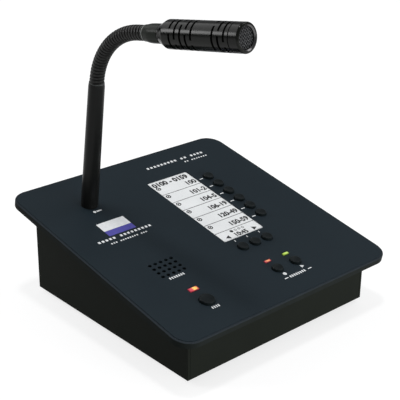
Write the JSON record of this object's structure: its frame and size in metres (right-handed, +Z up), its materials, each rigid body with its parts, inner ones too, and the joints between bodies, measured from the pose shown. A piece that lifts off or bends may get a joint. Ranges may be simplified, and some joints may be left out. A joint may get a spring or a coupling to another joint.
{
  "type": "desk paging console",
  "caption": "Desk paging console: a sloped panel on a sheet case with keys, a display, lights, a small loudspeaker and a bendable gooseneck microphone.",
  "frame": {"origin": "on the desk, under the middle of the console's outline", "axes": "+Z up, -Y towards the user, +X to the user's right"},
  "size_m": [0.15, 0.1468, 0.1739],
  "materials": {
    "plate": "satin dark blue black",
    "overlay": "fine grained satin sheet",
    "case": "satin black paint",
    "steel": "zinc plated",
    "foot_rubber": "matt",
    "soft_rubber": "matt",
    "window": "clear satin",
    "display": "paper white",
    "board": "solder mask",
    "brass": "turned",
    "black_plastic": "moulded",
    "key": "satin moulded",
    "talk_light": "lit lens",
    "record_light": "lit lens",
    "play_light": "lit lens",
    "cone": "pulp cone",
    "magnet": "plated",
    "ribbon": "flat cable",
    "lead": "cable sheath",
    "sleeve": "satin black",
    "flex": "satin black",
    "coupling": "satin dark grey",
    "mic": "satin black anodised",
    "mesh": "woven, darkened",
    "capsule": "drawn can",
    "grub": "blackened"
  },
  "bodies": {
    "console": {"top_panel": "plate", "panel_overlay": "overlay", "left_wall": "case", "right_wall": "case", "front_wall": "case", "back_wall": "case", "bottom_cover": "case", "panel_studs": "steel", "panel_nuts": "steel", "corner_brackets": "steel", "cover_screws": "steel", "display_retainer": "steel", "board_screws": "steel", "neck_washer": "steel", "neck_nut": "steel", "speaker_frame": "steel", "network_socket": "steel", "feet": "foot_rubber", "speaker_gasket": "soft_rubber", "display_window": "window", "display_panel": "display", "display_board": "board", "control_board": "board", "talk_board": "board", "main_board": "board", "board_pillars": "brass", "neck_ferrule": "brass", "key_switches": "black_plastic", "board_components": "black_plastic", "board_headers": "black_plastic", "talk_led": "talk_light", "record_led": "record_light", "play_led": "play_light", "speaker_cone": "cone", "speaker_magnet": "magnet", "ribbon_cable": "ribbon", "inner_leads": "lead", "neck_sleeve": "sleeve", "neck_flex_lower": "flex"},
    "neck_mid": {"neck_flex_upper": "flex"},
    "mic_head": {"neck_coupling": "coupling", "mic_body": "mic", "mic_front_ring": "mic", "mic_mesh": "mesh", "mic_capsule": "capsule", "capsule_holder": "soft_rubber", "mic_grub_screw": "grub"},
    "zone_key_1_body": {"zone_key_1": "key"},
    "zone_key_2_body": {"zone_key_2": "key"},
    "zone_key_3_body": {"zone_key_3": "key"},
    "zone_key_4_body": {"zone_key_4": "key"},
    "zone_key_5_body": {"zone_key_5": "key"},
    "zone_key_6_body": {"zone_key_6": "key"},
    "menu_key_left_body": {"menu_key_left": "key"},
    "menu_key_middle_body": {"menu_key_middle": "key"},
    "menu_key_right_body": {"menu_key_right": "key"},
    "record_key_body": {"record_key": "key"},
    "play_key_body": {"play_key": "key"},
    "talk_key_cap_body": {"talk_key_cap": "key"}
  },
  "joints": [
    {"name": "zone_key_1_press", "type": "slide", "parent": "console", "child": "zone_key_1_body", "axis": [0, 0.1891, -0.982], "range_m": [0, 0.001], "stiffness_N_per_m": 1200, "springref_m": -0.0006},
    {"name": "zone_key_2_press", "type": "slide", "parent": "console", "child": "zone_key_2_body", "axis": [0, 0.1891, -0.982], "range_m": [0, 0.001], "stiffness_N_per_m": 1200, "springref_m": -0.0006},
    {"name": "zone_key_3_press", "type": "slide", "parent": "console", "child": "zone_key_3_body", "axis": [0, 0.1891, -0.982], "range_m": [0, 0.001], "stiffness_N_per_m": 1200, "springref_m": -0.0006},
    {"name": "zone_key_4_press", "type": "slide", "parent": "console", "child": "zone_key_4_body", "axis": [0, 0.1891, -0.982], "range_m": [0, 0.001], "stiffness_N_per_m": 1200, "springref_m": -0.0006},
    {"name": "zone_key_5_press", "type": "slide", "parent": "console", "child": "zone_key_5_body", "axis": [0, 0.1891, -0.982], "range_m": [0, 0.001], "stiffness_N_per_m": 1200, "springref_m": -0.0006},
    {"name": "zone_key_6_press", "type": "slide", "parent": "console", "child": "zone_key_6_body", "axis": [0, 0.1891, -0.982], "range_m": [0, 0.001], "stiffness_N_per_m": 1200, "springref_m": -0.0006},
    {"name": "menu_key_left_press", "type": "slide", "parent": "console", "child": "menu_key_left_body", "axis": [0, 0.1891, -0.982], "range_m": [0, 0.001], "stiffness_N_per_m": 1200, "springref_m": -0.0006},
    {"name": "menu_key_middle_press", "type": "slide", "parent": "console", "child": "menu_key_middle_body", "axis": [0, 0.1891, -0.982], "range_m": [0, 0.001], "stiffness_N_per_m": 1200, "springref_m": -0.0006},
    {"name": "menu_key_right_press", "type": "slide", "parent": "console", "child": "menu_key_right_body", "axis": [0, 0.1891, -0.982], "range_m": [0, 0.001], "stiffness_N_per_m": 1200, "springref_m": -0.0006},
    {"name": "record_key_press", "type": "slide", "parent": "console", "child": "record_key_body", "axis": [0, 0.1891, -0.982], "range_m": [0, 0.001], "stiffness_N_per_m": 1200, "springref_m": -0.0006},
    {"name": "play_key_press", "type": "slide", "parent": "console", "child": "play_key_body", "axis": [0, 0.1891, -0.982], "range_m": [0, 0.001], "stiffness_N_per_m": 1200, "springref_m": -0.0006},
    {"name": "talk_key_cap_press", "type": "slide", "parent": "console", "child": "talk_key_cap_body", "axis": [0, 0.1891, -0.982], "range_m": [0, 0.001], "stiffness_N_per_m": 1200, "springref_m": -0.0006},
    {"name": "neck_sway", "type": "hinge", "parent": "console", "child": "neck_mid", "pos_m": [-0.04091, 0.03098, 0.13653], "axis": [0.0994, -0.893, -0.439], "range_deg": [-30, 30], "deforming": ["neck_flex_lower"]},
    {"name": "neck_nod", "type": "hinge", "parent": "neck_mid", "child": "mic_head", "pos_m": [-0.03918, 0.01189, 0.15447], "axis": [0.9945, 0.1035, 0.0145], "range_deg": [-35, 30], "deforming": ["neck_flex_upper"]}
  ]
}
